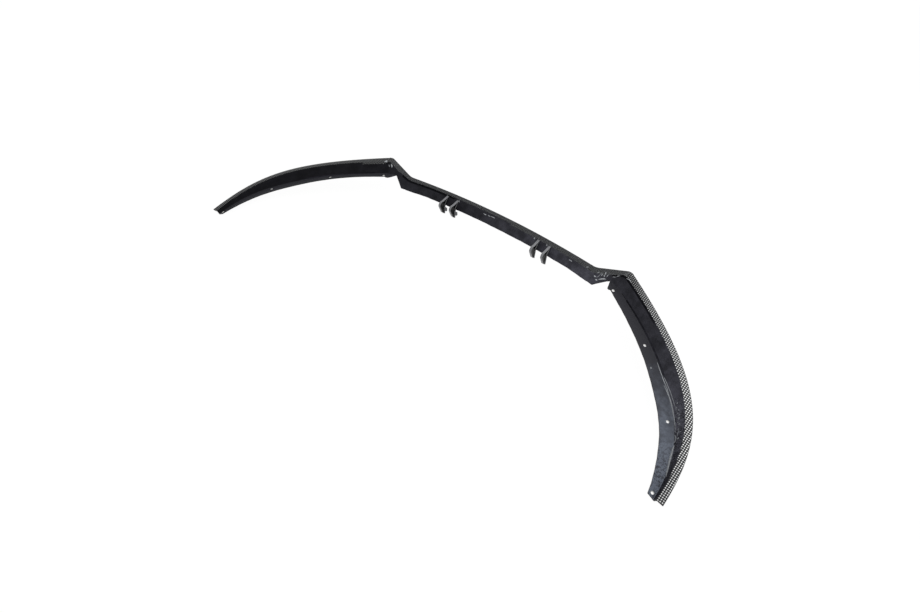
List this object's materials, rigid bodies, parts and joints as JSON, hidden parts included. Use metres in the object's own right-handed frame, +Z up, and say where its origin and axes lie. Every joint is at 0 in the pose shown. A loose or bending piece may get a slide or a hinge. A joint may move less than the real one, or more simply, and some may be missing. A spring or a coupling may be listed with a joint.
{
  "type": "front splitter lip",
  "caption": "Carbon fibre front splitter lip for a car: bowed blade with two curved wings, screwed flanges and bonded hook tabs.",
  "frame": {"origin": "under the middle of the outline, on the floor that the lip rests on", "axes": "+X across the car, +Y towards the front of the car, +Z up; the lip lies as it rests on its tabs and wing ends"},
  "size_m": [1.792, 0.553, 0.098],
  "materials": {
    "carbon_skin": "clear-coated twill carbon fibre on the blade, bare rough laminate on the inner side",
    "tab_laminate": "bare laminate, slightly glossy on the rims"
  },
  "bodies": {
    "root": {"lip_shell": "carbon_skin", "hook_tab_left_outer": "tab_laminate", "hook_tab_left_inner": "tab_laminate", "hook_tab_right_inner": "tab_laminate", "hook_tab_right_outer": "tab_laminate"}
  },
  "joints": []
}
